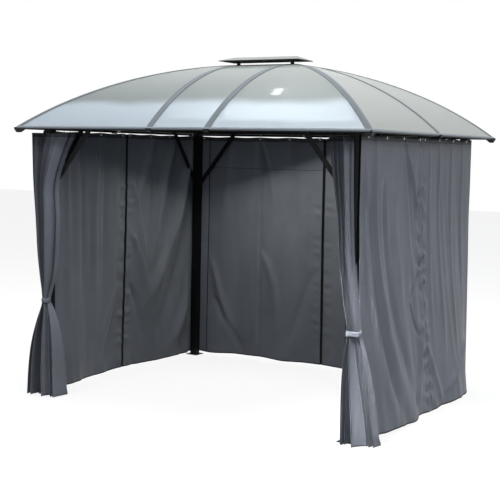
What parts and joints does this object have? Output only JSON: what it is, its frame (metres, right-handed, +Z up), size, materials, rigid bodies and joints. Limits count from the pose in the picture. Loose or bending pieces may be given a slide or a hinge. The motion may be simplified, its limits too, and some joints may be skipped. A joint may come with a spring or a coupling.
{
  "type": "hardtop gazebo",
  "caption": "Free-standing rectangular garden gazebo with an arched, ribbed, vented hard roof and closed side curtains, its front curtains tied back.",
  "frame": {"origin": "on the ground in the middle of the plan", "axes": "+X along the long front, +Y from the open front to the back, +Z up"},
  "size_m": [2.998, 2.508, 2.688],
  "materials": {
    "frame_black": "satin powder coat, near black",
    "rib_grey": "satin powder coat, mid grey",
    "eave_metal": "satin, pale grey",
    "corner_plastic": "moulded, matte black",
    "roof_sheet": "smoked translucent sheet, soft gloss",
    "cap_metal": "satin powder coat, mid grey",
    "curtain_fabric": "woven polyester, charcoal grey",
    "zip_black": "woven tape with a coil zip, black",
    "hook_plastic": "moulded, black"
  },
  "bodies": {
    "root": {"beam_back": "frame_black", "beam_front": "frame_black", "beam_left": "frame_black", "beam_right": "frame_black", "curtain_back_left": "curtain_fabric", "curtain_back_right": "curtain_fabric", "curtain_hooks_back": "hook_plastic", "curtain_hooks_front": "hook_plastic", "curtain_hooks_left": "hook_plastic", "curtain_hooks_right": "hook_plastic", "curtain_left_back": "curtain_fabric", "curtain_left_front": "curtain_fabric", "curtain_right_back": "curtain_fabric", "curtain_right_front": "curtain_fabric", "curtain_tracks": "frame_black", "eave_corner_caps": "corner_plastic", "eave_flashing": "eave_metal", "edge_rails": "frame_black", "foot_plates": "frame_black", "front_curtain_left": "curtain_fabric", "front_curtain_right": "curtain_fabric", "hip_rib_back_left": "rib_grey", "hip_rib_back_right": "rib_grey", "hip_rib_front_left": "rib_grey", "hip_rib_front_right": "rib_grey", "knee_braces_back": "frame_black", "knee_braces_front": "frame_black", "knee_braces_left": "frame_black", "knee_braces_right": "frame_black", "post_back_left": "frame_black", "post_back_right": "frame_black", "post_front_left": "frame_black", "post_front_right": "frame_black", "post_sleeves": "frame_black", "rafter_seats": "frame_black", "rib_end_caps": "corner_plastic", "roof_panels_back": "roof_sheet", "roof_panels_front": "roof_sheet", "roof_panels_left": "roof_sheet", "roof_panels_right": "roof_sheet", "roof_ribs_back": "rib_grey", "roof_ribs_ends": "rib_grey", "roof_ribs_front": "rib_grey", "tie_backs": "curtain_fabric", "vent_cap_frame": "frame_black", "vent_cap_legs": "frame_black", "vent_cap_lid": "cap_metal", "vent_frame": "frame_black", "zip_tapes": "zip_black"}
  },
  "joints": []
}
